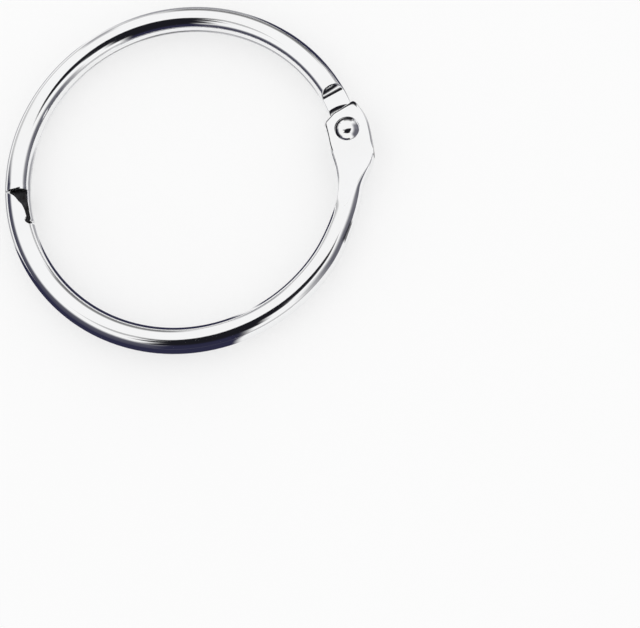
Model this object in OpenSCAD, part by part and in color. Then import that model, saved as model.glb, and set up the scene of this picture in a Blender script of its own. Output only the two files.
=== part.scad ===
// Hinged loose-leaf binder ring: two rolled-strip half rings that turn on one rivet and meet at a
// stepped catch on the far side. The ring lies in the XY plane, centred on the origin. The rivet
// is on +X, the tongue half covers the +Y side and the fork half the -Y side.

/* [Ring] */
// Clear diameter inside the closed ring
ring_inner_d = 31.8; // [24:0.1:60]
// Outer diameter of the rolled tube
tube_d = 2.6; // [2.3:0.05:3.2]
// Thickness of the steel strip
sheet = 0.45; // [0.3:0.01:0.55]
// Gap left between the strip's two edges, on the inside of the ring
seam_gap = 0.12; // [0.06:0.01:0.3]

/* [Tongue] */
// Thickness of the flattened end of the tongue half
tongue_t = 1.1; // [0.8:0.02:1.2]
// Distance from the rivet to where the flattened stretch starts to rise
shoulder_start = 3.95; // [3.6:0.05:5]
// Radius of the press's edge, which forms the shoulder between the flat and the full tube
shoulder_r = 1; // [0.5:0.05:2]
// Solid metal left between the shoulder and the hollow of the tube
shoulder_web = 0.3; // [0.2:0.05:1]

/* [Ears] */
// How far the ears stand outside the line of the tube
ear_out = 0.94; // [0.4:0.01:1.1]
// How far the ears stand inside the line of the tube
ear_in = 0.76; // [0.4:0.01:1]
// Distance that the ears reach past the rivet, along their outer edge
ear_reach = 2.65; // [2.4:0.05:3]
// Distance that the ears reach past the rivet, along their inner edge
ear_reach_in = 1.4; // [1:0.05:1.8]
// Distance that the ears' top edge lies outside the inner side of the tube where it bends
ear_knee = 0.45; // [0.3:0.01:0.7]
// Rounding of the corners of the ears
ear_round = 0.22; // [0.05:0.01:0.3]
// Gap between the tongue's round end and the cut edge of the fork's spine
spine_gap = 1.6; // [1.5:0.05:2.2]
// Play between each ear and the tongue
side_play = 0.06; // [0.02:0.01:0.15]

/* [Neck] */
// Distance from the rivet to where the ears have narrowed to the neck
neck_start = 6.2; // [5.5:0.1:8]
// Distance from the rivet to where the neck starts to grow back to the full tube
neck_foot = 10.3; // [9:0.1:11]
// Distance from the rivet to the end of the neck, where the tube is round again
neck_end = 13.9; // [12.5:0.1:16]
// How much narrower the neck is than the tube, on its outer side
neck_pinch = 0.14; // [0:0.01:0.5]

/* [Rivet] */
// Diameter of the rivet's shank
rivet_d = 1.5; // [1:0.05:1.9]
// Diameter of the rivet's heads
rivet_head_d = 2.5; // [2.3:0.05:3.2]
// Height of each domed head
rivet_head_h = 0.7; // [0.3:0.05:0.8]
// Height of the straight rim under each dome
rivet_rim_h = 0.08; // [0.02:0.01:0.15]
// Radial play between the shank and the tongue
pivot_play = 0.05; // [0.02:0.01:0.1]
// Radial gap between the shank and the ears that hold it
rivet_seat_gap = 0.01; // [0.005:0.001:0.02]

/* [Catch] */
// Distance of the tongue half's end cut from the point opposite the rivet
catch_cut = 2.65; // [2.2:0.05:4]
// Gap between the two halves at the outer side of the catch
catch_gap = 0.12; // [0.05:0.01:0.3]
// Thickness of the springy lip on the inside of the catch
lip_t = 0.22; // [0.2:0.01:0.4]
// Width of that lip
lip_w = 0.9; // [0.8:0.05:1.4]
// How far the lip reaches past the point opposite the rivet
lip_reach = 0.75; // [0.6:0.05:1]
// Length of lip that is held inside the tube
lip_root = 2; // [1:0.1:4]
// Thickness of the blade that stands on the lip, inside the tube
blade_t = 0.6; // [0.4:0.02:0.7]
// How far the blade reaches past the point opposite the rivet
blade_reach = 0.9; // [0.3:0.05:1.2]
// Play between the blade and the inside of the tube
blade_play = 0.06; // [0.05:0.01:0.2]
// Radius of the bead across the lip's end
bead_r = 0.17; // [0.15:0.01:0.25]
// How far the middle of the bead stands outside the middle of the lip
bead_rise = 0.07; // [0.05:0.01:0.15]
// Play between the bead and the nib that it snaps past
nib_play = 0.06; // [0.03:0.01:0.15]
// Room around the bead in its notch
notch_room = 0.27; // [0.2:0.01:0.4]

/* [Hidden] */
$fn = 96;

plating = [0.82, 0.83, 0.85];
tube_r = tube_d / 2;
ring_r = ring_inner_d / 2 + tube_r;
fork_gap = tongue_t + 2 * side_play;
ear_face = fork_gap / 2 + sheet;
slack = 1;

// The neck is a lofted skin, kept this much inside the plates and tube that it runs into
sunk = 0.01;
neck_wall = sheet - 2 * sunk;
neck_steps = 30;
bend_steps = 6;
wing_steps = 8;
// Cut edge of the spine, and the places and lengths over which the fork's section changes
spine_cut = tube_r + spine_gap;
flat_end = spine_cut + 1.8;
round_start = neck_end - 2.3;
lobe_start = 2.4;
lobe_in_start = 0.9;
lobe_in_end = 6;
// The spine's corners are sharp at its cut edge and grow to the full round of the tube
edge_round = 0.08;
edge_fade = 1.2;
bend_growth = 4.5;
inner_round = 0.03;
// How far the ears' outer edge falls in towards their top, and where that top edge bends
taper_share = 0.69;
taper_power = 1.6;
knee_share = 0.36;
// The ears' flat plates run on over the start of the neck
plate_end = spine_cut + 1.5;
edge_step = 0.25;
corner_steps = 5;
// Angle of the strip's curl in the tube on each side, up to the seam
seam_angle = acos(seam_gap / 2 / (tube_r - neck_wall / 2)) - 1;

lip_off = lip_t / 2 - tube_r;
bead_off = lip_off + bead_rise;
bead_angle = 20;
nib_off = bead_off + bead_r + nib_play;
nib_at = -0.25;
notch_shift = 0.17;
blade_slot = blade_t + 2 * blade_play;
// The blade's outer edge, which also clears the cut end of the tube as the ring opens
blade_off = sqrt(pow(tube_r - sheet, 2) - pow(blade_t / 2, 2)) - blade_play
    - pow(catch_cut, 2) / (4 * ring_r);

function turn(s) = s / ring_r * 180 / PI;
function ease(t) = let(u = max(0, min(1, t))) u * u * (3 - 2 * u);
function mix(a, b, t) = a + (b - a) * t;
function polar(r, a) = [r * cos(a), r * sin(a)];

// Points at s mm along the ring and off mm outside its centreline: s is measured from the rivet
// towards the tongue half, or from the point opposite the rivet towards the tongue half
function hinge_point(s, off) = polar(ring_r + off, turn(s));
function catch_point(s, off) = polar(ring_r + off, 180 - turn(s));

// Outer and inner edge of the fork half near the hinge, as offsets from the centreline
function lobe(s) = ease((s + neck_start) / (neck_start - lobe_start));
function neck(s) = (1 - lobe(s)) * (1 - ease((-s - neck_foot) / (neck_end - neck_foot)));
function top_taper(s) = taper_share * ear_out * pow(max(0, s) / ear_reach, taper_power);
function outer_edge(s) = tube_r + ear_out * lobe(s) - neck_pinch * neck(s) - top_taper(s);
function inner_edge(s) = -tube_r - ear_in * ease((s + lobe_in_end) / (lobe_in_end - lobe_in_start));

// The neck's section at s: a spine with two bent corners, and a wing on each side that runs
// inwards and curls towards the seam as the tube closes
function roundness(s) = ease((-s - flat_end) / (round_start - flat_end));
function half_thickness(s) = mix(ear_face, tube_r, roundness(s)) - sunk;
function corner_r(s) =
    -s < spine_cut ? edge_round * ease((-s - spine_cut) / edge_fade + 1)
    : mix(edge_round, half_thickness(s), ease((-s - spine_cut) / bend_growth));
function spine_off(s) = outer_edge(s) - sunk;
function curl(s) = max(0.01, seam_angle * roundness(s));
function wing_start(s) = spine_off(s) - max(corner_r(s), neck_wall + inner_round);
function wing_end(s) = mix(inner_edge(s) + sunk,
                           -(half_thickness(s) - neck_wall / 2) * sin(curl(s)), roundness(s));
function wing_point(s, u) =
    let(reach = wing_start(s) - wing_end(s), a = curl(s))
    [wing_start(s) - reach * sin(a * u) / sin(a),
     half_thickness(s) - neck_wall / 2 - reach * (1 - cos(a * u)) / sin(a)];
// Point j of the section's outer (side = 1) or inner (side = -1) face, from the middle of the
// spine (j = 0) round the corner and along the wing
function corner_point(s, j, depth, r) =
    [spine_off(s) - depth - r, half_thickness(s) - depth - r] + polar(r, 90 * (j - 1) / bend_steps);
function section_point(s, j, side) =
    j == 0 ? [spine_off(s) - (side > 0 ? 0 : neck_wall), 0]
    : j > bend_steps + 1
        ? let(u = (j - bend_steps - 1) / wing_steps)
          wing_point(s, u) + polar(side * neck_wall / 2, 90 + curl(s) * u)
    : side > 0 ? corner_point(s, j, 0, corner_r(s))
    : corner_point(s, j, neck_wall, max(corner_r(s) - neck_wall, inner_round));
function skin_point(s, j, side) =
    let(q = section_point(s, abs(j), side))
    [each polar(ring_r + q[0], turn(s + neck_end)), sign(j) * q[1]];

// Points of a rounded corner at b, between a and c
function rounded(a, b, c, r) =
    let(u = (a - b) / norm(a - b), v = (c - b) / norm(c - b),
        middle = b + (u + v) / norm(u + v) * r / sin(acos(u * v) / 2),
        first = b + u * r / tan(acos(u * v) / 2) - middle,
        sweep = 180 - acos(u * v), way = -sign(cross(u, v)))
    [for (i = [0 : corner_steps])
        let(t = way * sweep * i / corner_steps)
        middle + [first[0] * cos(t) - first[1] * sin(t), first[0] * sin(t) + first[1] * cos(t)]];

module arc_sweep(from, to) {
    rotate([0, 0, from])
        rotate_extrude(angle = to - from)
            translate([ring_r, 0])
                children();
}

// Hollow of the rolled tube, and the seam on its inner side, which can end first
module tube_hollow(from, to, seam_to) {
    arc_sweep(from, to)
        circle(tube_r - sheet);
    arc_sweep(from, seam_to)
        translate([-tube_r - slack, -seam_gap / 2])
            square([tube_r + slack, seam_gap]);
}

// What the press takes off one face of the tongue half: a flat that ends in a round shoulder
module tongue_press() {
    rotate([0, 0, turn(shoulder_start)])
        translate([ring_r + 2 * tube_d, 0, tongue_t / 2])
            rotate([90, 0, -90])
                linear_extrude(4 * tube_d)
                    difference() {
                        translate([-shoulder_r, 0])
                            square([4 * tube_d, 2 * tube_d]);
                        difference() {
                            translate([-shoulder_r, 0])
                                square(shoulder_r);
                            translate([0, shoulder_r])
                                circle(shoulder_r);
                        }
                    }
}

// What is cut from the tongue half's tube past its end cut, to leave a springy lip on its inside
module lip_trim() {
    arc_sweep(180 - turn(catch_cut), 185 + turn(lip_reach)) {
        translate([lip_t - tube_r, -tube_d])
            square([2 * tube_d, 2 * tube_d]);
        for (side = [0, 1])
            mirror([0, side])
                translate([-2 * tube_d, lip_w / 2])
                    square([4 * tube_d, tube_d]);
    }
}

// The blade on the lip, with a round tip
module blade_outline() {
    tip_steps = 12;
    root = catch_cut + lip_root;
    root_steps = ceil(root / edge_step);
    polygon(concat(
        [for (i = [0 : root_steps]) catch_point(root * (1 - i / root_steps), blade_off)],
        [for (i = [1 : tip_steps])
            let(a = 90 * i / tip_steps)
            catch_point(-blade_reach * sin(a), mix(lip_off, blade_off, cos(a)))],
        [for (i = [1 : root_steps])
            catch_point(mix(-lip_reach / 2, root, i / root_steps), lip_off)]
    ));
}

// The bead across the lip's end, bent round the tube's axis like the lip
module bead() {
    rotate([0, 0, 180 + turn(lip_reach)])
        translate([ring_r, 0, 0])
            rotate([90, 0, 0])
                rotate([0, 0, 180 - bead_angle])
                    rotate_extrude(angle = 2 * bead_angle)
                        translate([-bead_off, 0])
                            circle(bead_r);
}

module tongue_half() {
    color(plating)
    difference() {
        union() {
            difference() {
                union() {
                    arc_sweep(0, 180 + turn(lip_reach))
                        circle(tube_r);
                    intersection() {
                        translate([ring_r, 0, 0])
                            sphere(tube_r);
                        translate([ring_r - tube_d, -2 * tube_d, -tube_d])
                            cube([2 * tube_d, 2 * tube_d, 2 * tube_d]);
                    }
                }
                tube_hollow(turn(shoulder_start + shoulder_r + shoulder_web), 200,
                            180 - turn(catch_cut + lip_root));
                lip_trim();
                tongue_press();
                mirror([0, 0, 1])
                    tongue_press();
            }
            linear_extrude(blade_t, center = true)
                blade_outline();
            bead();
        }
        translate([ring_r, 0, 0])
            cylinder(r = rivet_d / 2 + pivot_play, h = tube_d, center = true);
    }
}

// One ear: a flat plate round the rivet that narrows to the neck's wall
module ear_outline() {
    steps = ceil((plate_end + ear_reach) / edge_step);
    in_steps = ceil((plate_end + ear_reach_in) / edge_step);
    outer = [for (i = [0 : steps])
        let(s = mix(-plate_end, ear_reach, i / steps))
        hinge_point(s, outer_edge(s) - corner_r(s))];
    knee = hinge_point(mix(ear_reach, ear_reach_in, knee_share), ear_knee - tube_r);
    inner = [for (i = [0 : in_steps])
        let(s = mix(ear_reach_in, -plate_end, i / in_steps))
        hinge_point(s, inner_edge(s) + ear_round / 2 * pow(max(0, s) / ear_reach_in, 3))];
    polygon(concat(
        [for (i = [0 : steps - 2]) outer[i]],
        rounded(outer[steps - 2], outer[steps], knee, ear_round),
        rounded(outer[steps], knee, inner[0], 2 * ear_round),
        rounded(knee, inner[0], inner[2], ear_round),
        [for (i = [2 : in_steps]) inner[i]]
    ));
}

module ears() {
    for (side = [-1, 1])
        translate([0, 0, side * (fork_gap + sheet) / 2])
            linear_extrude(sheet, center = true)
                ear_outline();
}

// The neck between the ears and the round tube, lofted from a U to a closed C. It starts at
// the tube's end face, which lies in the XZ plane here.
module neck_skin() {
    m = bend_steps + 1 + wing_steps;
    row = 2 * m + 1;
    points = [for (i = [0 : neck_steps], side = [1, -1], j = [-m : m])
        skin_point(mix(-spine_cut, -neck_end, i / neck_steps), j, side)];
    at = function(i, side, j) (2 * i + side) * row + j;
    quads = concat(
        [for (i = [0 : neck_steps - 1], j = [0 : row - 2])
            [at(i, 0, j), at(i, 0, j + 1), at(i + 1, 0, j + 1), at(i + 1, 0, j)]],
        [for (i = [0 : neck_steps - 1], j = [0 : row - 2])
            [at(i, 1, j + 1), at(i, 1, j), at(i + 1, 1, j), at(i + 1, 1, j + 1)]],
        [for (i = [0 : neck_steps - 1])
            [at(i, 1, 0), at(i, 0, 0), at(i + 1, 0, 0), at(i + 1, 1, 0)]],
        [for (i = [0 : neck_steps - 1])
            [at(i, 0, row - 1), at(i, 1, row - 1), at(i + 1, 1, row - 1), at(i + 1, 0, row - 1)]],
        [for (j = [0 : row - 2])
            [at(0, 0, j + 1), at(0, 0, j), at(0, 1, j), at(0, 1, j + 1)]],
        [for (j = [0 : row - 2])
            [at(neck_steps, 0, j), at(neck_steps, 0, j + 1),
             at(neck_steps, 1, j + 1), at(neck_steps, 1, j)]]
    );
    polyhedron(points, [for (q = quads) each [[q[0], q[2], q[1]], [q[0], q[3], q[2]]]]);
}

// What is cut from the fork half's tube at the catch: the lip's room, up to a round nose outside
// it, the notch that the bead rests in, and the slot that the blade slides through
module catch_room() {
    nib = catch_point(nib_at, nib_off);
    tip = catch_point(catch_cut - catch_gap, tube_r);
    outward = polar(1, 180 - turn(nib_at));
    nose_r = pow(norm(tip - nib), 2) / (2 * (tip - nib) * outward);
    linear_extrude(2 * tube_d, center = true) {
        difference() {
            polygon([
                catch_point(catch_cut + 2, -tube_r - slack),
                catch_point(catch_cut + 2, tube_r + slack),
                catch_point(nib_at, tube_r + slack),
                catch_point(-lip_reach, 0),
                catch_point(-lip_reach, -tube_r - slack)
            ]);
            translate(nib + nose_r * outward)
                circle(nose_r);
        }
        translate(catch_point(-lip_reach - notch_shift, bead_off))
            circle(bead_r + notch_room);
    }
    arc_sweep(180 - turn(catch_cut), 180 + turn(lip_reach))
        translate([-tube_r - slack, -blade_slot / 2])
            square([tube_r + slack, blade_slot]);
}

module fork_half() {
    fork_arc = 180 + turn(catch_cut + 1 - neck_end);
    color(plating)
    difference() {
        union() {
            rotate([0, 0, -turn(neck_end)]) {
                difference() {
                    mirror([0, 1, 0])
                        arc_sweep(0, fork_arc)
                            circle(tube_r);
                    tube_hollow(-fork_arc - 5, 5, 5);
                }
                neck_skin();
            }
            ears();
        }
        catch_room();
        translate([ring_r, 0, 0])
            cylinder(r = rivet_d / 2 + rivet_seat_gap, h = 2 * tube_d, center = true);
    }
}

module hinge_rivet() {
    head_r = rivet_head_d / 2;
    dome_h = rivet_head_h - rivet_rim_h;
    dome_r = (head_r * head_r + dome_h * dome_h) / (2 * dome_h);
    color(plating)
    translate([ring_r, 0, 0])
        rotate_extrude() {
            translate([0, -ear_face])
                square([rivet_d / 2, 2 * ear_face]);
            for (side = [0, 1])
                mirror([0, side]) {
                    translate([0, ear_face])
                        square([head_r, rivet_rim_h]);
                    intersection() {
                        translate([0, ear_face + rivet_head_h - dome_r])
                            circle(dome_r);
                        translate([0, ear_face + rivet_rim_h])
                            square([head_r, dome_h]);
                    }
                }
        }
}

tongue_half();
fork_half();
hinge_rivet();
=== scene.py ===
import math
import bmesh
import bpy
from mathutils import Matrix, Vector


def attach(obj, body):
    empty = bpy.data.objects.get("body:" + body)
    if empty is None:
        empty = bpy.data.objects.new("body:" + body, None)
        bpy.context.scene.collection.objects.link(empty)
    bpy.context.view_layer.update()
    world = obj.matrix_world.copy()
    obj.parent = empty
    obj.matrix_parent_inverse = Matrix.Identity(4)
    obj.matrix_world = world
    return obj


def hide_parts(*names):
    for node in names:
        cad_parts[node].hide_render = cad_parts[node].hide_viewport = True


mm = 0.001
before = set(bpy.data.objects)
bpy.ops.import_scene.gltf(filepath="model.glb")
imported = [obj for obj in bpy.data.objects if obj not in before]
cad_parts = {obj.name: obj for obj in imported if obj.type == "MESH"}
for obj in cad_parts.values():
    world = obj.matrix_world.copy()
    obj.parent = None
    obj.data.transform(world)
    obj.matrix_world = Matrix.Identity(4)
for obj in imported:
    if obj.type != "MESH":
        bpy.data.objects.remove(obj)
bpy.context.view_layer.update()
print("frame loaded:", sorted(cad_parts))

# camera

cameraSettings = {
    "lens": 67.5, "sensor": 36, "clipStart": 0.005, "clipEnd": 20,
    "rows": (
        (0.96869287, 0.24271886, 0.05217970, 0.01634747),
        (-0.22162645, 0.94015593, -0.25881998, -0.04770619),
        (-0.11187668, 0.23915206, 0.96451535, 0.11216296),
        (0, 0, 0, 1)),
}


def addCamera(s):
    data = bpy.data.cameras.new("ringCamera")
    data.lens = s["lens"]
    data.sensor_width = s["sensor"]
    data.clip_start = s["clipStart"]
    data.clip_end = s["clipEnd"]
    cam = bpy.data.objects.new("ringCamera", data)
    cam.matrix_world = Matrix(s["rows"])
    bpy.context.scene.collection.objects.link(cam)
    bpy.context.scene.camera = cam


addCamera(cameraSettings)
print("camera placed")

# helpers


def link(obj):
    bpy.context.scene.collection.objects.link(obj)
    return obj


def meshObject(name, bm):
    mesh = bpy.data.meshes.new(name)
    bm.to_mesh(mesh)
    bm.free()
    return link(bpy.data.objects.new(name, mesh))


def ease(t):
    t = min(max(t, 0), 1)
    return t * t * (3 - 2 * t)


def between(a, b, t):
    return a + (b - a) * t


# shared sizes, in mm
ring = {"radius": 17.2, "tube": 1.3, "sheet": 0.45, "seamHalf": 0.06}
half = math.pi * ring["radius"]     # way round from the rivet to the point opposite


def onRing(s, off, z):
    # s mm round from the rivet, off mm outside the middle line of the tube
    a = s / ring["radius"]
    r = ring["radius"] + off
    return Vector((r * math.cos(a), r * math.sin(a), z))


def wayRound(co, lowest):
    s = math.atan2(co.y, co.x) * ring["radius"]
    while s < lowest:
        s += 2 * half
    while s >= lowest + 2 * half:
        s -= 2 * half
    return s


def sweepRow(bm, row, stations):
    # spins a row of vertices through stations of (distance round the ring, steps)
    geom = row
    for (a, _), (b, steps) in zip(stations, stations[1:]):
        out = bmesh.ops.spin(bm, geom=geom, cent=(0, 0, 0), axis=(0, 0, 1),
                             angle=(b - a) / ring["radius"], steps=steps)
        geom = out["geom_last"]
    return geom


def addModifier(obj, kind, **values):
    mod = obj.modifiers.new(kind.lower(), kind)
    for key, value in values.items():
        setattr(mod, key, value)
    return mod


def applyModifiers(obj):
    bpy.context.view_layer.update()
    graph = bpy.context.evaluated_depsgraph_get()
    done = bpy.data.meshes.new_from_object(
        obj.evaluated_get(graph), preserve_all_data_layers=True, depsgraph=graph)
    obj.modifiers.clear()
    obj.data = done


def dropSlivers(obj, gap=0.0006):
    # merges what a cut or a bevel leaves closer than gap, in mm
    bm = bmesh.new()
    bm.from_mesh(obj.data)
    bmesh.ops.remove_doubles(bm, verts=bm.verts, dist=gap)
    bmesh.ops.dissolve_degenerate(bm, dist=gap, edges=bm.edges)
    bm.to_mesh(obj.data)
    bm.free()


def shadeByAngle(obj, degrees):
    for p in obj.data.polygons:
        p.use_smooth = True
    obj.data.set_sharp_from_angle(angle=math.radians(degrees))


def weldAndTurn(bm, gap):
    bmesh.ops.remove_doubles(bm, verts=bm.verts, dist=gap)
    bmesh.ops.recalc_face_normals(bm, faces=bm.faces)

# materials


def newMaterial(name):
    mat = bpy.data.materials.new(name)
    mat.use_nodes = True
    return mat, mat.node_tree, mat.node_tree.nodes["Principled BSDF"]


def addNode(tree, kind, values=None, **settings):
    n = tree.nodes.new(kind)
    for key, value in settings.items():
        setattr(n, key, value)
    for key, value in (values or {}).items():
        n.inputs[key].default_value = value
    return n


def ramp(tree, source, low, high, toLow, toHigh):
    n = addNode(tree, "ShaderNodeMapRange", {1: low, 2: high, 3: toLow, 4: toHigh})
    tree.links.new(source, n.inputs[0])
    return n.outputs[0]


def mixColors(tree, share, a, b):
    n = addNode(tree, "ShaderNodeMix", data_type="RGBA")
    tree.links.new(share, n.inputs[0])
    n.inputs[6].default_value = a
    n.inputs[7].default_value = b
    return n.outputs[2]


platingLook = {
    "color": (0.91, 0.912, 0.918, 1),
    "haze": (0.84, 0.83, 0.82, 1),      # faint cloudiness in the plating
    "smooth": 0.03,
    "dull": 0.10,
    "drawnLines": 0.35,
    "ripple": 0.04,
    "rippleDepth": 0.00002,             # in m
    "cloudScale": 190, "lineScale": 2.2, "speckScale": 2600,
    "lineStretch": (0.5, 14, 1),        # the lines run along the strip
}


def brightPlating(s):
    mat, tree, shader = newMaterial("brightPlating")
    shader.inputs["Metallic"].default_value = 1
    place = addNode(tree, "ShaderNodeTexCoord").outputs["Object"]
    along = addNode(tree, "ShaderNodeUVMap", uv_map="strip").outputs["UV"]
    cloud = addNode(tree, "ShaderNodeTexNoise", {"Scale": s["cloudScale"], "Detail": 5, "Roughness": 0.6})
    tree.links.new(place, cloud.inputs["Vector"])
    stretch = addNode(tree, "ShaderNodeMapping", {"Scale": s["lineStretch"]})
    tree.links.new(along, stretch.inputs["Vector"])
    lines = addNode(tree, "ShaderNodeTexNoise", {"Scale": s["lineScale"], "Detail": 6, "Roughness": 0.7})
    tree.links.new(stretch.outputs[0], lines.inputs["Vector"])
    specks = addNode(tree, "ShaderNodeTexVoronoi", {"Scale": s["speckScale"]})
    tree.links.new(place, specks.inputs["Vector"])
    haze = ramp(tree, cloud.outputs[0], 0.45, 0.8, 0, 0.35)
    tree.links.new(mixColors(tree, haze, s["color"], s["haze"]), shader.inputs["Base Color"])
    dull = addNode(tree, "ShaderNodeMath", operation="ADD")
    tree.links.new(ramp(tree, cloud.outputs[0], 0.4, 0.85, s["smooth"], s["dull"]), dull.inputs[0])
    tree.links.new(ramp(tree, lines.outputs[0], 0.5, 0.9, 0, 0.05), dull.inputs[1])
    tree.links.new(dull.outputs[0], shader.inputs["Roughness"])
    pits = ramp(tree, specks.outputs["Distance"], 0, 0.12, 0, 1)
    height = addNode(tree, "ShaderNodeMath", operation="ADD")
    tree.links.new(ramp(tree, lines.outputs[0], 0, 1, 0, s["drawnLines"]), height.inputs[0])
    tree.links.new(ramp(tree, pits, 0, 1, 0, 0.15), height.inputs[1])
    bump = addNode(tree, "ShaderNodeBump", {"Strength": s["ripple"], "Distance": s["rippleDepth"]})
    tree.links.new(height.outputs[0], bump.inputs["Height"])
    tree.links.new(bump.outputs[0], shader.inputs["Normal"])
    return mat


# colours for the inside of the strip: bare steel, set very dark as painted shade
shadedInsideLook = {
    "color": (0.10, 0.10, 0.11, 1), "stain": (0.035, 0.032, 0.032, 1),
    "cloudScale": 900, "smooth": 0.45, "dull": 0.75, "grain": 0.3, "grainDepth": 0.00003,
}


def paintedShadeSteel(s):
    # the unplated inside of the rolled strip, dull; bare steel is its own finish, and its very dark colour
    # is painted shade for the hollow tube and the catch's gap
    mat, tree, shader = newMaterial("paintedShadeSteel")
    shader.inputs["Metallic"].default_value = 1
    place = addNode(tree, "ShaderNodeTexCoord").outputs["Object"]
    cloud = addNode(tree, "ShaderNodeTexNoise", {"Scale": s["cloudScale"], "Detail": 6, "Roughness": 0.65})
    tree.links.new(place, cloud.inputs["Vector"])
    share = ramp(tree, cloud.outputs[0], 0.35, 0.7, 0, 1)
    tree.links.new(mixColors(tree, share, s["color"], s["stain"]), shader.inputs["Base Color"])
    dull = ramp(tree, cloud.outputs[0], 0.3, 0.75, s["smooth"], s["dull"])
    tree.links.new(dull, shader.inputs["Roughness"])
    bump = addNode(tree, "ShaderNodeBump", {"Strength": s["grain"], "Distance": s["grainDepth"]})
    tree.links.new(cloud.outputs[0], bump.inputs["Height"])
    tree.links.new(bump.outputs[0], shader.inputs["Normal"])
    return mat


plating = brightPlating(platingLook)
# dark steel for the strip's inside and the blade, its darkness painted shade
shadedSteel = paintedShadeSteel(shadedInsideLook)
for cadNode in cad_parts.values():
    cadNode.data.materials[0] = plating
print("materials made")

# both halves are a strip with an outer and an inner skin


def addInnerSkin(bm, faces, innerLayer):
    out = bmesh.ops.extrude_face_region(bm, geom=faces, use_keep_orig=True)
    for v in (g for g in out["geom"] if isinstance(g, bmesh.types.BMVert)):
        v[innerLayer] = 1


def innerCount(f, innerLayer):
    return sum(v[innerLayer] > 0.5 for v in f.verts)


def paintStrip(bm, uv, cLayer, innerLayer, along):
    # bare steel inside, its dark colour painted shade in the hollow, and a texture map that follows the
    # strip
    for f in bm.faces:
        f.material_index = 1 if innerCount(f, innerLayer) == len(f.verts) else 0
        for corner in f.loops:
            corner[uv].uv = (along[corner.vert], corner.vert[cLayer] * 4)


def weighRims(bm, innerLayer, wanted=lambda e: True):
    # marks the edges where a cut face meets a skin
    weight = bm.edges.layers.float.new("bevel_weight_edge")
    for e in bm.edges:
        cut = [innerCount(f, innerLayer) not in (0, len(f.verts)) for f in e.link_faces]
        if len(cut) == 2 and cut[0] != cut[1] and wanted(e):
            e[weight] = 1


def stripObject(name, bm, cutEdge):
    bmesh.ops.recalc_face_normals(bm, faces=bm.faces)
    obj = meshObject(name, bm)
    obj.data.materials.append(plating)
    # second slot: the inside's dark steel, painted shade
    obj.data.materials.append(shadedSteel)
    addModifier(obj, "BEVEL", width=cutEdge, segments=2, limit_method="WEIGHT")
    applyModifiers(obj)
    return obj


def drill(obj, radius, place, depth):
    bm = bmesh.new()
    bmesh.ops.create_cone(bm, cap_ends=True, segments=64, radius1=radius, radius2=radius, depth=depth)
    bmesh.ops.translate(bm, vec=place, verts=bm.verts)
    tool = meshObject("cutter", bm)
    addModifier(obj, "BOOLEAN", operation="DIFFERENCE", object=tool, solver="EXACT")
    applyModifiers(obj)
    dropSlivers(obj)
    bpy.data.objects.remove(tool)


def finishPiece(obj, body, *nodes):
    # shapes are made in mm, and the finished mesh is in metres at the origin
    obj.data.transform(Matrix.Scale(mm, 4))
    shadeByAngle(obj, 32)
    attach(obj, body)
    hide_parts(*nodes)


# fork half: one rolled strip, from the catch's nose round the tube and the neck to the two ears
forkSizes = {
    "columns": 48,                  # on each side of the strip's middle
    # ears, with the rivet at 0 and the tube's middle line at 0
    "earFace": 1.06, "earOut": 0.94, "earIn": 0.76, "earTop": 2.65, "earTopIn": 1.4, "earWidth": 3.65,
    "kneeShare": 0.67, "kneeAt": 2.2, "kneeEase": 0.35, "cornerRound": 0.25,
    "taper": 0.69, "taperPower": 1.6, "tipSpacing": 1.5,
    "lobeStart": 2.4, "lobeInStart": 0.9, "lobeInEnd": 6,
    # the ears' rounded rims
    "earRound": 0.3, "roundFrom": 12, "roundOver": 7, "spineRoundFrom": 0.1, "spineRoundOver": 1.1,
    # where the strip's back wall stops behind the ears
    "spineCut": 2.9, "spineBend": 0.12, "spineFade": 1.2, "cutWall": 0.12,
    # neck, and the way its section turns from two flat sides to a round tube
    "neckStart": 6.2, "neckFoot": 10.3, "neckEnd": 13.9, "neckPinch": 0.14,
    "flatEnd": 4.7, "roundStart": 11.6, "evenFrom": 3, "evenOver": 6,
    "cornerOver": 4.5, "cornerPower": 0.62, "cornerLeast": 0.03,
    # nose at the catch, measured from the point opposite the rivet
    "noseReach": 3, "tip": 2.53, "nibAt": -0.25, "nibOff": -0.89, "lipEnd": -0.75,
    "slotHalf": 0.36, "slotFrom": 0.9, "slotOver": 0.4,
    "notchAt": -0.92, "notchOff": -1.12, "notchRadius": 0.44, "notchDepth": 6,
    "cutEdge": 0.04,
}
forkLowest = -1.5 * half            # where the count along the fork half begins


def lobe(s, k):
    return ease((s + k["neckStart"]) / (k["neckStart"] - k["lobeStart"]))


def outerEdge(s, k):
    neck = (1 - lobe(s, k)) * (1 - ease((-s - k["neckFoot"]) / (k["neckEnd"] - k["neckFoot"])))
    taper = k["taper"] * k["earOut"] * (max(0, s) / k["earTop"]) ** k["taperPower"]
    return ring["tube"] + k["earOut"] * lobe(s, k) - k["neckPinch"] * neck - taper


def innerEdge(s, k):
    return -ring["tube"] - k["earIn"] * ease((s + k["lobeInEnd"]) / (k["lobeInEnd"] - k["lobeInStart"]))


def earTop(u, k):
    # how far the ears reach past the rivet, u from their outer to their inner edge
    if u < k["kneeShare"]:
        bend = k["kneeEase"]
        share = ease(u / k["kneeShare"]) * bend + (1 - bend) * u / k["kneeShare"]
        top = between(k["earTop"], k["kneeAt"], share)
    else:
        top = between(k["kneeAt"], k["earTopIn"], (u - k["kneeShare"]) / (1 - k["kneeShare"]))
    r = k["cornerRound"]
    for d in (u * k["earWidth"], (1 - u) * k["earWidth"]):
        if d < r:
            top -= r - math.sqrt(r * r - (r - d) ** 2)
    return top


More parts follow.
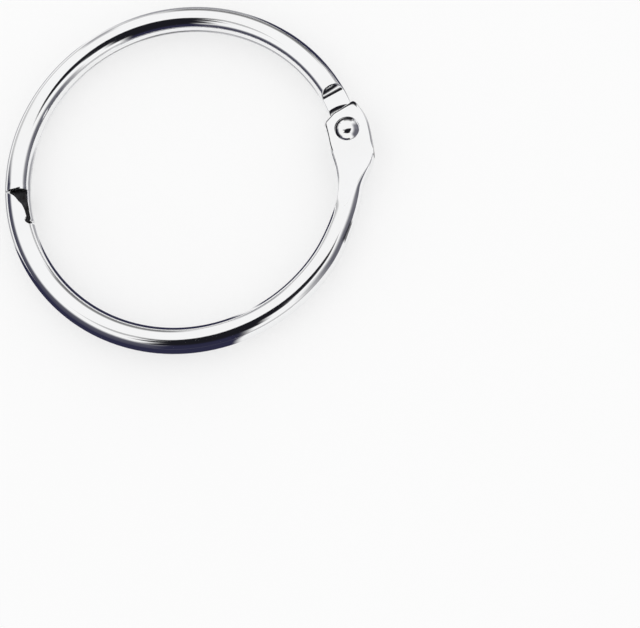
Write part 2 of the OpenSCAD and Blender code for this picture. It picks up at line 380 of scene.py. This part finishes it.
def endOfNose(off, k):
    # where the nose's cut edge lies at off, in mm from the point opposite the rivet
    tipR, nibR = ring["radius"] + ring["tube"], ring["radius"] + k["nibOff"]
    spread = (k["tip"] - k["nibAt"]) / ring["radius"]
    dx, dy = tipR * math.cos(spread) - nibR, tipR * math.sin(spread)
    noseR = (dx * dx + dy * dy) / (2 * dx)
    far, r = nibR + noseR, ring["radius"] + off
    if off < k["nibOff"]:
        return k["lipEnd"]
    cosine = (r * r + far * far - noseR * noseR) / (2 * r * far)
    return k["nibAt"] + ring["radius"] * math.acos(min(1, cosine))


def stripSection(s, c, inner, k):
    # point of the strip's outer or inner face: c runs from 0, the middle, to 1, the seam
    wall = ring["sheet"]
    roundness = ease((-s - k["flatEnd"]) / (k["roundStart"] - k["flatEnd"]))
    halfThick = between(k["earFace"], ring["tube"], roundness)
    turned = ease((-s - k["spineCut"]) / k["cornerOver"])
    if -s < k["spineCut"]:
        corner = k["spineBend"] * ease((-s - k["spineCut"]) / k["spineFade"] + 1)
    else:
        corner = between(k["spineBend"], halfThick, turned)
    spine = outerEdge(s, k)
    freePlate = -s < k["spineCut"] - 0.02
    wingStart = spine if freePlate else spine - max(corner, wall + k["cornerLeast"])
    sharp = between(k["cornerPower"], 1, turned)
    if c <= 0.5:
        a = math.pi * c
        thick = halfThick - wall if inner else halfThick
        if freePlate:
            return (spine, thick)
        edge = spine - wall if inner else spine
        r = max(corner - wall, k["cornerLeast"]) if inner else corner
        return (edge - r * (1 - max(math.cos(a), 0) ** sharp), thick * max(math.sin(a), 0) ** sharp)
    u = (c - 0.5) * 2
    even = ease((-s - k["evenFrom"]) / k["evenOver"])
    u = between(0.5 - 0.5 * math.cos(math.pi * u), u, even)
    slot = ease((-s - half - k["slotFrom"]) / k["slotOver"])
    gap = between(ring["seamHalf"], k["slotHalf"], slot)
    curl = max(0.001, (math.acos(gap / (ring["tube"] - wall / 2))) * roundness)
    middle = halfThick - wall / 2
    wingEnd = between(innerEdge(s, k), -middle * math.sin(curl), roundness)
    reach = wingStart - wingEnd
    off = wingStart - reach * math.sin(curl * u) / math.sin(curl)
    z = middle - reach * (1 - math.cos(curl * u)) / math.sin(curl)
    side = -wall / 2 if inner else wall / 2
    return (off - side * math.sin(curl * u), z + side * math.cos(curl * u))


def edgeDrop(*edges):
    # how far a rounded rim falls below its face, from the distance to each edge and its radius
    near = [(1 - d / r, r) for d, r in edges if r > 1e-6 and d < r]
    if not near:
        return 0
    bend = min(1, math.hypot(*(n for n, _ in near)))
    return max(r for _, r in near) * (1 - math.sqrt(1 - bend * bend))


def placeStripVertex(v, cLayer, inner, k):
    s = wayRound(v.co, forkLowest)
    reach = k["noseReach"]
    c = abs(v[cLayer])
    mirrored = -1 if v[cLayer] < 0 else 1
    toTip = 9
    if s > 0 and c >= 0.5:
        u = (c - 0.5) * 2
        u = 0.5 - 0.5 * math.cos(math.pi * u)
        t = 1 - max(0, 1 - s / k["earTop"]) ** k["tipSpacing"]
        tip = earTop(u, k)
        s = t * tip
        toTip = tip - s
    elif s < -half + reach:
        off = ring["tube"] * math.cos(math.pi * c)
        s = between(-half + reach, -half - endOfNose(off, k), (-half + reach - s) / (2 * reach))
    off, z = stripSection(s, c, inner, k)
    if not inner and s > -k["roundFrom"]:
        # tumbling has rounded the ears' outer edges
        r = k["earRound"] * ease((s + k["roundFrom"]) / k["roundOver"])
        spineR = r * ease((s + k["spineCut"] - k["spineRoundFrom"]) / k["spineRoundOver"])
        edges = (toTip, r), (off - innerEdge(s, k), r), (outerEdge(s, k) - off, spineR)
        z -= edgeDrop(*edges) if c >= 0.5 else 0
    v.co = onRing(s, off, mirrored * z)
    return s


def makeForkHalf(k):
    bm = bmesh.new()
    cLayer = bm.verts.layers.float.new("across")
    innerLayer = bm.verts.layers.float.new("inside")
    count = 2 * k["columns"] + 2
    made = bmesh.ops.create_circle(bm, segments=count, radius=ring["tube"])
    for v in made["verts"]:
        atSeam = abs(v.co.x) <= 1e-6 and v.co.y <= 0
        v[cLayer] = 2 if atSeam else math.atan2(v.co.x, v.co.y) / math.pi * count / (count - 2)
    bmesh.ops.delete(bm, geom=[v for v in bm.verts if v[cLayer] == 2], context="VERTS")
    reach = k["noseReach"]
    start = Matrix.Rotation(-(half + reach) / ring["radius"], 4, "Z") @ Matrix(
        ((0, 1, 0, ring["radius"]), (0, 0, 1, 0), (1, 0, 0, 0), (0, 0, 0, 1)))
    bmesh.ops.transform(bm, matrix=start, verts=bm.verts)
    cut = -k["spineCut"]
    sweepRow(bm, bm.verts[:] + bm.edges[:], (
        (-half - reach, 0), (-half + reach, 60), (-half + 2 * reach, 8), (-k["neckEnd"] - 1, 50),
        (-5.5, 36), (cut, 22), (cut + k["cutWall"], 1), (0, 20), (k["earTop"], 22)))
    gone = [f for f in bm.faces if wayRound(f.calc_center_median(), forkLowest) > cut
            and min(abs(v[cLayer]) for v in f.verts) < 0.499]
    bmesh.ops.delete(bm, geom=gone, context="FACES")
    bmesh.ops.delete(bm, geom=[v for v in bm.verts if not v.link_faces], context="VERTS")
    addInnerSkin(bm, bm.faces[:], innerLayer)
    uv = bm.loops.layers.uv.new("strip")
    along = {v: placeStripVertex(v, cLayer, v[innerLayer] > 0.5, k) for v in bm.verts}
    paintStrip(bm, uv, cLayer, innerLayer, along)
    weighRims(bm, innerLayer)
    obj = stripObject("forkHalf", bm, k["cutEdge"])
    drill(obj, k["notchRadius"], onRing(-half - k["notchAt"], k["notchOff"], 0), k["notchDepth"])
    finishPiece(obj, "fork_side", "fork_half")
    return obj


makeForkHalf(forkSizes)
print("fork half made")

# tongue half: one rolled strip, pressed flat and round at the rivet, with a springy lip at the catch
tongueSizes = {
    "columns": 98,                  # round the tube
    # tongue between the ears, and the shoulder where the press stops
    "flatHalf": 0.55, "shoulderAt": 3.95, "shoulderRound": 1, "pressSoft": 0.12,
    "boreRadius": 0.8, "boreDepth": 4,
    # hollow tube, up to its cut at the catch
    "hollowFrom": 5.25, "endCut": 2.65, "cutEdge": 0.04,
    # lip that springs past the nose, with a bead across its end
    "lipRoot": 4.65, "lipEnd": -0.75, "lipHalf": 0.45, "lipThick": 0.22, "lipSunk": 0.006, "lipEdge": 0.03,
    "beadRadius": 0.17, "beadDepth": 1.12, "beadCover": 0.97,
    # blade that fills the slot, in the dark steel whose colour is painted shade in the catch's gap
    "bladeHalf": 0.3, "bladeEnd": -0.9, "bladeOut": 0.63, "bladeIn": -1.19, "bladeEdge": 0.05,
}


def pressLimit(s, k):
    # half the height left between the press's jaws
    x = s - k["shoulderAt"]
    if x <= 0:
        return k["flatHalf"]
    if x >= k["shoulderRound"]:
        return 9
    return k["flatHalf"] + k["shoulderRound"] - math.sqrt(k["shoulderRound"] ** 2 - x * x)


def pressed(z, s, k):
    a, b, soft = abs(z), pressLimit(s, k), k["pressSoft"]
    h = max(soft - abs(a - b), 0) / soft
    return math.copysign(min(a, b) - h * h * soft / 4, z)


def makeTongueHalf(k):
    bm = bmesh.new()
    cLayer = bm.verts.layers.float.new("across")
    innerLayer = bm.verts.layers.float.new("inside")
    count = k["columns"]

    def nearSeam(v):
        return abs(v[cLayer]) > 0.98

    bmesh.ops.create_circle(bm, segments=count, radius=ring["tube"])
    seamAt = 1 - math.asin(ring["seamHalf"] / ring["tube"]) / math.pi
    for v in bm.verts:
        c = math.atan2(v.co.y, v.co.x) / math.pi
        v[cLayer] = math.copysign(seamAt, c) if abs(c) > 1 - 1.1 / count else c
    bmesh.ops.transform(bm, verts=bm.verts, matrix=Matrix(
        ((1, 0, 0, ring["radius"]), (0, 0, 1, 0), (0, 1, 0, 0), (0, 0, 0, 1))))
    first = bm.verts[:] + bm.edges[:]
    outerHalf = [v for v in bm.verts if abs(v[cLayer]) < 0.501]
    outerEdges = [e for e in bm.edges if all(abs(v[cLayer]) < 0.501 for v in e.verts)]
    sweepRow(bm, first, ((0, 0), (3.6, 18), (k["hollowFrom"], 33), (half - k["endCut"], 64)))
    bmesh.ops.spin(bm, geom=outerHalf + outerEdges, cent=(ring["radius"], 0, 0), axis=(0, 0, 1),
                   angle=-math.pi, steps=24)
    bmesh.ops.remove_doubles(bm, verts=[v for v in bm.verts if v.co.y < 1e-4], dist=0.001)
    for v in bm.verts:
        if abs(v.co.y) < 1e-4 and v.co.x < ring["radius"]:
            v[cLayer] = math.atan2(v.co.z, v.co.x - ring["radius"]) / math.pi
    uv = bm.loops.layers.uv.new("strip")
    gone = [f for f in bm.faces if wayRound(f.calc_center_median(), -half) > k["hollowFrom"]
            and min(abs(v[cLayer]) for v in f.verts) > 0.98]
    bmesh.ops.delete(bm, geom=gone, context="FACES")
    hollow = [f for f in bm.faces if wayRound(f.calc_center_median(), -half) > k["hollowFrom"]]
    addInnerSkin(bm, hollow, innerLayer)
    along = {v: wayRound(v.co, -half) for v in bm.verts}
    atStart = [v for v in bm.verts if abs(along[v] - k["hollowFrom"]) < 1e-3]
    wall = [f for f in bm.faces if all(v in atStart for v in f.verts)]
    bmesh.ops.delete(bm, geom=wall, context="FACES")
    innerStart = sorted((v for v in atStart if v[innerLayer] > 0.5), key=lambda v: v[cLayer])
    outerSeam = sorted((v for v in atStart if v[innerLayer] < 0.5 and nearSeam(v)), key=lambda v: v[cLayer])
    bm.faces.new(innerStart)
    bm.faces.new((outerSeam[0], outerSeam[1], innerStart[-1], innerStart[0]))
    bore = ring["tube"] - ring["sheet"]
    for v in bm.verts:
        if along[v] < -1e-3 or v.co.y < -1e-4:
            v.co.z = pressed(v.co.z, 0, k)
            continue
        inner = v[innerLayer] > 0.5
        r = bore if inner else ring["tube"]
        a = math.pi * v[cLayer]
        z = r * math.sin(a)
        if inner and nearSeam(v):
            z = math.copysign(ring["seamHalf"], z)
        v.co = onRing(along[v], r * math.cos(a), z if inner else pressed(z, along[v], k))
    paintStrip(bm, uv, cLayer, innerLayer, along)

    def onCatch(e):
        innerSeam = all(v[innerLayer] > 0.5 and nearSeam(v) for v in e.verts)
        return min(along[v] for v in e.verts) > k["hollowFrom"] + 0.1 and not innerSeam

    weighRims(bm, innerLayer, onCatch)
    tube = stripObject("tongueHalf", bm, k["cutEdge"])
    drill(tube, k["boreRadius"], (ring["radius"], 0, 0), k["boreDepth"])
    weldOn(tube, makeLip(k))
    weldOn(tube, makeBlade(k))
    finishPiece(tube, "tongue_side", "tongue_half")
    return tube


def slab(name, columns, rows, placeVertex, edge):
    # a slab from a grid, given two faces, and each vertex then put in its place
    bm = bmesh.new()
    bmesh.ops.create_grid(bm, x_segments=columns, y_segments=rows, size=1)
    bmesh.ops.solidify(bm, geom=bm.faces[:], thickness=1)
    middle = sum(v.co.z for v in bm.verts) / len(bm.verts)
    uv = bm.loops.layers.uv.new("strip")
    for v in bm.verts:
        v.co = placeVertex((v.co.x + 1) / 2, v.co.y, v.co.z > middle)
    for f in bm.faces:
        for corner in f.loops:
            corner[uv].uv = (corner.vert.co.y, corner.vert.co.z)
    bmesh.ops.recalc_face_normals(bm, faces=bm.faces)
    if bm.calc_volume(signed=True) < 0:
        bmesh.ops.reverse_faces(bm, faces=bm.faces)
    obj = meshObject(name, bm)
    addModifier(obj, "BEVEL", width=edge, segments=2,
                limit_method="ANGLE", angle_limit=math.radians(50))
    applyModifiers(obj)
    dropSlivers(obj)
    return obj


def makeLip(k):
    def placeVertex(t, across, towardsAxis):
        at = between(k["lipRoot"], k["lipEnd"] - k["beadCover"] * k["beadRadius"], t)
        fromBead = abs(at - k["lipEnd"])
        bead = math.sqrt(max(k["beadRadius"] ** 2 - fromBead ** 2, 0))
        outer = ring["tube"] - k["lipSunk"]
        inner = ring["tube"] - k["lipThick"]
        if fromBead < k["beadRadius"]:
            inner = min(inner, k["beadDepth"] - bead) if at > k["lipEnd"] else k["beadDepth"] - bead
            outer = outer if at > k["lipEnd"] else min(outer, k["beadDepth"] + bead)
        a = across * k["lipHalf"] / 1.2
        r = inner if towardsAxis else outer
        return onRing(half - at, -r * math.cos(a), r * math.sin(a))
    lip = slab("lip", 90, 12, placeVertex, k["lipEdge"])
    lip.data.materials.append(plating)
    return lip


def makeBlade(k):
    def placeVertex(t, up, top):
        t = 1 - (1 - t) ** 2
        at = between(k["lipRoot"], k["bladeEnd"], t)
        reach = math.sqrt(max(1 - (min(at, 0) / k["bladeEnd"]) ** 2, 0.006))
        off = between(k["bladeIn"], between(k["bladeIn"], k["bladeOut"], reach), (up + 1) / 2)
        return onRing(half - at, off, k["bladeHalf"] if top else -k["bladeHalf"])
    blade = slab("blade", 60, 10, placeVertex, k["bladeEdge"])
    # dark steel: painted shade, so the gap at the catch reads dark
    blade.data.materials.append(shadedSteel)
    return blade


def weldOn(obj, part):
    # makes one closed skin of the two
    addModifier(obj, "BOOLEAN", operation="UNION", object=part, solver="EXACT", material_mode="TRANSFER")
    applyModifiers(obj)
    bpy.data.objects.remove(part)


makeTongueHalf(tongueSizes)
print("tongue half made")

# rivet: a plain shank clenched between two domed heads
rivetSizes = {
    "shank": 0.75, "head": 1.25, "rim": 0.08, "dome": 0.62, "edge": 0.035,
    "seat": 1.06,                   # the ears' outer face, which the heads sit on
    "steps": 72, "domeSteps": 18,
}


def makeRivet(k):
    bm = bmesh.new()
    domeRadius = (k["head"] ** 2 + k["dome"] ** 2) / (2 * k["dome"])
    top = k["seat"] + k["rim"] + k["dome"]
    crown = bm.verts.new((0, 0, top))
    arc = math.asin(k["head"] / domeRadius)
    bmesh.ops.spin(bm, geom=[crown], cent=(0, 0, top - domeRadius), axis=(0, 1, 0),
                   angle=arc, steps=k["domeSteps"])
    bm.verts.ensure_lookup_table()
    rim = max(bm.verts, key=lambda v: v.co.x)
    lower = bm.verts.new((k["head"], 0, k["seat"]))
    root = bm.verts.new((k["shank"], 0, k["seat"]))
    waist = bm.verts.new((k["shank"], 0, 0))
    for a, b in ((rim, lower), (lower, root), (root, waist)):
        bm.edges.new((a, b))
    bmesh.ops.mirror(bm, geom=bm.verts[:] + bm.edges[:], axis="Z", merge_dist=1e-4)
    bmesh.ops.spin(bm, geom=bm.verts[:] + bm.edges[:], cent=(0, 0, 0), axis=(0, 0, 1),
                   angle=2 * math.pi, steps=k["steps"], use_merge=True)
    weldAndTurn(bm, 1e-4)
    bmesh.ops.translate(bm, vec=(ring["radius"], 0, 0), verts=bm.verts)
    uv = bm.loops.layers.uv.new("strip")
    for f in bm.faces:
        for corner in f.loops:
            corner[uv].uv = (corner.vert.co.x, corner.vert.co.y)
    obj = meshObject("hingeRivet", bm)
    obj.data.materials.append(plating)
    addModifier(obj, "BEVEL", width=k["edge"], segments=3,
                limit_method="ANGLE", angle_limit=math.radians(40))
    applyModifiers(obj)
    finishPiece(obj, "fork_side", "hinge_rivet")
    return obj


makeRivet(rivetSizes)
print("rivet made")

# floor, dark cards and light

stageSettings = {
    "floorZ": -1.76, "floorSize": 3.0, "white": 0.93,
    "floorGlow": 0.6,               # its share of light of its own, where the camera or metal sees it
    "domeRadius": 400, "matRadius": 80, "matLift": 0.012,
    "dark": (0.012, 0.012, 0.016, 1), "navy": (0.028, 0.028, 0.062, 1), "light": (1, 1, 1, 1),
}
# dark patches on the dome: from, to and softness in degrees round, then in degrees up, then depth
domePatches = (
    (186, 344, 12, 63, 99, 6, 1),
    (208, 308, 10, 48, 82, 8, 1),
    (222, 290, 10, 28, 76, 8, 1),
    (231, 281, 10, -8, 62, 12, 1),
    (292, 359, 10, 55, 87, 6, 1),
    (166, 206, 14, 56, 78, 8, 0.5),
    (46, 98, 10, -20, 30, 14, 0.78),
    (42, 70, 8, -20, 12, 8, 1),
    (122, 162, 12, -20, 30, 16, 0.4),
    (298, 360, 12, -20, 38, 18, 0.4),
    (0, 30, 10, -20, 24, 16, 0.35),
    (-1, 361, 1, -12, 15, 9, 0.45),
)
# dark patches on the mat round the ring, which only the metal sees; they stand partly for dark surroundings
# and partly for the floor's shade beside the ring, which is painted shade: the same, with mm from its
# centre in place of degrees up
matPatches = (
    (12, 50, 6, 18.8, 26, 1.5, 1),
    (20, 70, 16, 18.6, 90, 3, 1),
    (45, 112, 22, 18.8, 90, 2, 0.65),
    (184, 277, 4, 18.5, 90, 0.5, 1),
    (-1, 14, 1, 20.8, 27, 1.5, 0.75),
    (346, 361, 1, 20.8, 27, 1.5, 0.75),
    (110, 190, 8, 18.6, 25, 1.5, 0.6),
    (148, 190, 8, 10, 15.9, 2, 0.6),
    (184, 280, 6, 2, 15.85, 1.2, 1),
    (283, 361, 6, 8, 15.9, 1.5, 1),
    (18, 100, 10, 13.6, 15.9, 0.6, 0.55),
)
cards = {
    # from, to and softness in degrees, then radius, bottom, top, fading height and centre x in mm,
    # then depth and shade
    "leftCard": (143, 280, 12, 70, -1.7, 53, 28, 0, 0.94, "navy"),
    "farCard": (102, 115, 5, 71, -1.7, 44, 22, 0, 0.5, "navy"),
    "rightCard": (-60, 36, 24, 70, -1.7, 70, 40, 0, 0.8, "navy"),
    # tipCard: a dark card close over the ears' tips and round the rivet's head; the metal shows it as dark
    # rims there, painted shade
    "tipCard": (52, 215, 6, 3.0, 0.95, 2.3, 0.7, 17.2, 1, "dark"),
    "neckCard": (273, 300, 6, 13, -1.7, 3.5, 2, 17.2, 0.8, "dark"),
    "shieldCard": (222, 292, 1, 5, 2.6, 8, 0.5, 17.2, 1, "light"),
}


def addFloor(s):
    bm = bmesh.new()
    bmesh.ops.create_grid(bm, x_segments=1, y_segments=1, size=s["floorSize"])
    bmesh.ops.translate(bm, verts=bm.verts, vec=(0, 0, s["floorZ"] * mm))
    floor = meshObject("floor", bm)
    mat, tree, shader = newMaterial("floorPaper")
    shader.inputs["Base Color"].default_value = (s["white"],) * 3 + (1,)
    shader.inputs["Roughness"].default_value = 1
    path = addNode(tree, "ShaderNodeLightPath")
    glow = addNode(tree, "ShaderNodeEmission", {"Color": (1, 1, 1, 1)})
    mix = addNode(tree, "ShaderNodeMixShader")
    seen = addNode(tree, "ShaderNodeMath", operation="ADD", use_clamp=True)
    tree.links.new(path.outputs["Is Camera Ray"], seen.inputs[0])
    tree.links.new(path.outputs["Is Glossy Ray"], seen.inputs[1])
    share = addNode(tree, "ShaderNodeMath", {1: s["floorGlow"]}, operation="MULTIPLY")
    tree.links.new(seen.outputs[0], share.inputs[0])
    tree.links.new(share.outputs[0], mix.inputs["Fac"])
    tree.links.new(shader.outputs[0], mix.inputs[1])
    tree.links.new(glow.outputs[0], mix.inputs[2])
    tree.links.new(mix.outputs[0], tree.nodes["Material Output"].inputs["Surface"])
    floor.data.materials.append(mat)


def calc(tree, operation, a, b=None):
    n = addNode(tree, "ShaderNodeMath", operation=operation)
    for socket, value in zip(n.inputs, (a, b)):
        if isinstance(value, (int, float)):
            socket.default_value = value
        elif value is not None:
            tree.links.new(value, socket)
    return n.outputs[0]


def softRange(tree, value, low, high, soft):
    rise = addNode(tree, "ShaderNodeMapRange", {1: low, 2: low + soft}, interpolation_type="SMOOTHSTEP")
    fall = addNode(tree, "ShaderNodeMapRange", {1: high, 2: high - soft}, interpolation_type="SMOOTHSTEP")
    tree.links.new(value, rise.inputs[0])
    tree.links.new(value, fall.inputs[0])
    return calc(tree, "MULTIPLY", rise.outputs[0], fall.outputs[0])


def darkCardMaterial(name, color, makeDepth):
    # a card that reflections see as dark where makeDepth is 1, and not at all where it is 0
    mat, tree, shader = newMaterial(name)
    tree.nodes.remove(shader)
    place = addNode(tree, "ShaderNodeSeparateXYZ")
    tree.links.new(addNode(tree, "ShaderNodeTexCoord").outputs["Object"], place.inputs[0])
    clear = addNode(tree, "ShaderNodeBsdfTransparent")
    dark = addNode(tree, "ShaderNodeEmission", {"Color": color})
    mix = addNode(tree, "ShaderNodeMixShader")
    tree.links.new(makeDepth(tree, *place.outputs), mix.inputs["Fac"])
    tree.links.new(clear.outputs[0], mix.inputs[1])
    tree.links.new(dark.outputs[0], mix.inputs[2])
    tree.links.new(mix.outputs[0], tree.nodes["Material Output"].inputs["Surface"])
    return mat


def patchDepth(tree, x, y, along, patches):
    turned = calc(tree, "ARCTAN2", calc(tree, "MULTIPLY", y, -1), calc(tree, "MULTIPLY", x, -1))
    around = calc(tree, "ADD", calc(tree, "MULTIPLY", turned, 180 / math.pi), 180)
    total = None
    for a, b, softA, low, high, softV, depth in patches:
        sideways = softRange(tree, around, a, b, softA)
        upright = softRange(tree, along, low, high, softV)
        part = calc(tree, "MULTIPLY", calc(tree, "MULTIPLY", sideways, upright), depth)
        total = part if total is None else calc(tree, "MAXIMUM", total, part)
    return total


def showOnlyInMetal(obj):
    obj.visible_camera = False
    obj.visible_diffuse = False
    obj.visible_shadow = False


def addDome(s, patches):
    bm = bmesh.new()
    bmesh.ops.create_uvsphere(bm, u_segments=48, v_segments=24, radius=s["domeRadius"] * mm)
    bmesh.ops.bisect_plane(bm, geom=bm.verts[:] + bm.edges[:] + bm.faces[:], clear_inner=True,
                           plane_co=(0, 0, s["floorZ"] * mm), plane_no=(0, 0, 1))
    dome = meshObject("darkDome", bm)

    def depth(tree, x, y, z):
        upward = calc(tree, "ARCSINE", calc(tree, "DIVIDE", z, s["domeRadius"] * mm))
        return patchDepth(tree, x, y, calc(tree, "MULTIPLY", upward, 180 / math.pi), patches)
    dome.data.materials.append(darkCardMaterial("domeDark", s["dark"], depth))
    showOnlyInMetal(dome)


def addMat(s, patches):
    # a sheet just over the floor, seen only in the metal, carrying painted shade of the floor beside the
    # ring
    bm = bmesh.new()
    bmesh.ops.create_circle(bm, cap_ends=True, segments=96, radius=s["matRadius"] * mm)
    bmesh.ops.translate(bm, verts=bm.verts, vec=(0, 0, (s["floorZ"] + s["matLift"]) * mm))
    mat = meshObject("darkMat", bm)

    def depth(tree, x, y, z):
        squares = calc(tree, "ADD", calc(tree, "MULTIPLY", x, x), calc(tree, "MULTIPLY", y, y))
        fromCentre = calc(tree, "MULTIPLY", calc(tree, "SQRT", squares), 1 / mm)
        return patchDepth(tree, x, y, fromCentre, patches)
    mat.data.materials.append(darkCardMaterial("matDark", s["navy"], depth))
    showOnlyInMetal(mat)


def addCard(name, s, shades):
    # made round its own axis, facing -X, and then turned to its place
    fromDeg, toDeg, soft, radius, low, high, fade, centre, strength, shade = s
    width = toDeg - fromDeg
    bm = bmesh.new()
    a = bm.verts.new((radius * mm, 0, low * mm))
    b = bm.verts.new((radius * mm, 0, high * mm))
    bm.edges.new((a, b))
    turn = Matrix.Rotation(math.radians(180 - width / 2), 3, "Z")
    bmesh.ops.rotate(bm, verts=bm.verts, cent=(0, 0, 0), matrix=turn)
    bmesh.ops.spin(bm, geom=bm.verts[:] + bm.edges[:], cent=(0, 0, 0), axis=(0, 0, 1),
                   angle=math.radians(width), steps=24)
    card = meshObject(name, bm)
    card.location.x = centre * mm
    card.rotation_euler.z = math.radians((fromDeg + toDeg) / 2 - 180)

    def depth(tree, x, y, z):
        up = calc(tree, "MULTIPLY", z, 1 / mm)
        patch = (180 - width / 2, 180 + width / 2, soft, -99, high, fade, strength)
        return patchDepth(tree, x, y, up, (patch,))
    card.data.materials.append(darkCardMaterial(name, shades[shade], depth))
    showOnlyInMetal(card)


def addWorld():
    world = bpy.data.worlds.new("studio")
    bpy.context.scene.world = world
    world.use_nodes = True
    back = world.node_tree.nodes["Background"]
    back.inputs["Color"].default_value = (1, 1, 1, 1)
    back.inputs["Strength"].default_value = 1.0


addFloor(stageSettings)
addDome(stageSettings, domePatches)
addMat(stageSettings, matPatches)
for cardName, cardSize in cards.items():
    addCard(cardName, cardSize, stageSettings)
addWorld()
bpy.context.scene.view_settings.view_transform = "Standard"
print("set and light placed")
